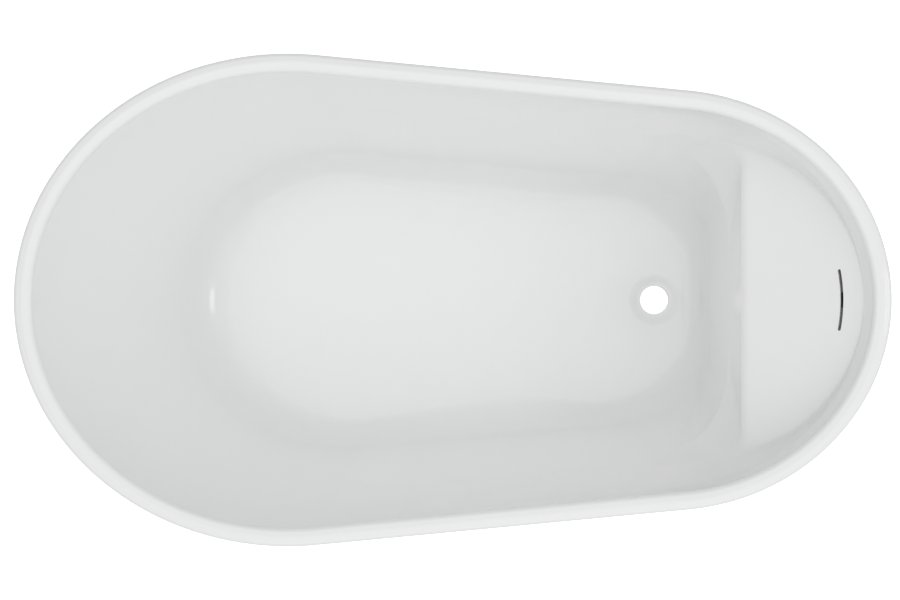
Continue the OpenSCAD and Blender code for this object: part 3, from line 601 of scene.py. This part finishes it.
def makeStuds():
    tree = studTree()
    sockets = {s.name: s.identifier for s in tree.interface.items_tree if s.in_out == "INPUT"}
    values = {"Core": stud["core"], "Ridge": stud["ridge"], "Pitch": stud["pitch"],
              "Thread from": stud["threadFrom"], "Thread to": stud["threadTo"], "Ball": stud["ball"],
              "Ball from": stud["ballFrom"], "Ball to": stud["ballTo"], "Hexagon": stud["hexR"],
              "Hexagon from": stud["hexFrom"], "Hexagon height": stud["hexHeight"]}
    joints = {j["child"]: j for j in record["behaviour"]["joints"]}
    for body in ("foot_head_left", "foot_head_right", "foot_end_left", "foot_end_right", "foot_mid"):
        at = joints[body + "_screw"]["pos_m"]
        obj = linkMesh(body.replace("foot", "stud"), [(0, 0, 0)], [])
        mod = obj.modifiers.new("stud", "NODES")
        mod.node_group = tree
        for label, value in values.items():
            mod[sockets[label]] = value * mm
        mod[sockets["Place"]] = (at[0], at[1], 0.0)
        mod[sockets["Finish"]] = zincPlate
        mesh = bpy.data.meshes.new_from_object(obj.evaluated_get(bpy.context.evaluated_depsgraph_get()))
        obj.modifiers.clear()
        obj.data = mesh
        mesh.set_sharp_from_angle(angle=math.radians(35))
        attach(obj, body + "_screw")
        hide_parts(body + "_stud")


makeStuds()
print("studs ready")


def dress(obj, mat):
    obj.data.materials.clear()
    obj.data.materials.append(mat)


dress(basin, acrylicWhite)
dress(outer, acrylicWhite)
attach(basin, "tub")
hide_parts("basin")
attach(outer, "tub")
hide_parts("skirt")

bySlot = dict(acrylic=acrylicWhite, adhesive=resinCream, board=plywood, block_wood=softwood,
              steel_tube=blackCoat, zinc_steel=zincPlate, bare_steel=bareSteel, black_plastic=blackPlastic,
              pipe_plastic=pipeWhite, gasket_rubber=foamRubber, pad_rubber=padRubber)
slotOf = {s["node"]: s["material_slot"] for s in record["subparts"]}
for name, node in frame["nodes"].items():
    if not node.hide_render:
        dress(node, bySlot[slotOf[name]])


studio = dict(sky=0.355, skyUp=0.675, skyX=0.06, skyY=-0.15, top=1.5, key=3, side=1.9,
              cameraHeight=2.75, lens=69.2, cameraX=-0.0044, floorDrop=0.0005, floorReach=60,
              glowR=0.17, glowLift=0.0003, floorGlow=0.72, drainGlow=1.15, drainBounce=0.7)


def makeFloor():
    # the glow lies under the drain hole, and the wall's reflections see it too
    z = cadLow.z - studio["floorDrop"]
    e, r = studio["floorReach"], studio["glowR"]
    floor = linkMesh("studioFloor", [(-e, -e, z), (e, -e, z), (e, e, z), (-e, e, z)], [(0, 1, 2, 3)])
    angles = np.linspace(0, 2 * math.pi, 33)[:-1]
    glow = linkMesh("drainGlow", [(drainX * mm + r * math.cos(a), r * math.sin(a), z + studio["glowLift"])
                                  for a in angles], [tuple(range(len(angles)))])
    for obj, strength, others in ((floor, studio["floorGlow"], 0.0),
                                  (glow, studio["drainGlow"], studio["drainBounce"])):
        mat = bpy.data.materials.new(obj.name)
        mat.use_nodes = True
        n, l = mat.node_tree.nodes, mat.node_tree.links
        bsdf, out = n["Principled BSDF"], n["Material Output"]
        bsdf.inputs["Base Color"].default_value = (0.8, 0.8, 0.8, 1)
        bsdf.inputs["Roughness"].default_value = 0.9
        bsdf.inputs["Specular IOR Level"].default_value = 0.1
        path, geo, emit, add, clear, see = [n.new(k) for k in (
            "ShaderNodeLightPath", "ShaderNodeNewGeometry", "ShaderNodeEmission",
            "ShaderNodeAddShader", "ShaderNodeBsdfTransparent", "ShaderNodeMixShader")]
        power = n.new("ShaderNodeMapRange")
        l.new(path.outputs["Is Camera Ray"], power.inputs["Value"])
        power.inputs["To Min"].default_value, power.inputs["To Max"].default_value = others, strength
        l.new(power.outputs[0], emit.inputs["Strength"])
        l.new(bsdf.outputs[0], add.inputs[0])
        l.new(emit.outputs[0], add.inputs[1])
        l.new(geo.outputs["Backfacing"], see.inputs["Fac"])
        l.new(add.outputs[0], see.inputs[1])
        l.new(clear.outputs[0], see.inputs[2])
        l.new(see.outputs[0], out.inputs["Surface"])
        obj.data.materials.append(mat)


def softbox(name, place, aim, size, power):
    light = bpy.data.lights.new(name, "AREA")
    light.shape, light.size, light.size_y, light.energy = "RECTANGLE", size[0], size[1], power
    obj = bpy.data.objects.new(name, light)
    obj.location = place
    obj.rotation_mode = "QUATERNION"
    obj.rotation_quaternion = (Vector(aim) - Vector(place)).to_track_quat("-Z", "Y")
    obj.visible_camera = False
    bpy.context.scene.collection.objects.link(obj)


makeFloor()
softbox("overheadBox", (-0.17, 0.0, 2.9), (-0.17, 0, 0.2), (1.56, 1.3), studio["top"])
softbox("keyBox", (0.4, -2.2, 2.2), (0, 0, 0.3), (2.2, 1.4), studio["key"])
softbox("footBox", (2.3, 0.0, 2.1), (-0.2, 0, 0.2), (0.5, 0.5), studio["side"])
world = bpy.data.worlds.new("studioSky")
bpy.context.scene.world = world
world.use_nodes = True
world.node_tree.nodes["Background"].inputs["Color"].default_value = (1, 1, 1, 1)
def skyGradient():
    # brighter overhead than at the horizon, and a little brighter from -Y and +X
    n, l = world.node_tree.nodes, world.node_tree.links
    coord, weigh, lift = n.new("ShaderNodeTexCoord"), n.new("ShaderNodeVectorMath"), n.new("ShaderNodeMath")
    weigh.operation, lift.operation = "DOT_PRODUCT", "ADD"
    weigh.inputs[1].default_value = (studio["skyX"], studio["skyY"], studio["skyUp"])
    l.new(coord.outputs["Generated"], weigh.inputs[0])
    l.new(weigh.outputs["Value"], lift.inputs[0])
    lift.inputs[1].default_value = studio["sky"]
    l.new(lift.outputs[0], n["Background"].inputs["Strength"])


skyGradient()
bpy.context.scene.view_settings.view_transform = "Standard"

cameraData = bpy.data.cameras.new("overheadCamera")
cameraData.lens, cameraData.sensor_width = studio["lens"], 36
camera = bpy.data.objects.new("overheadCamera", cameraData)
camera.location = (studio["cameraX"], 0, cadHigh.z + studio["cameraHeight"])
bpy.context.scene.collection.objects.link(camera)
bpy.context.scene.camera = camera
print("studio ready")
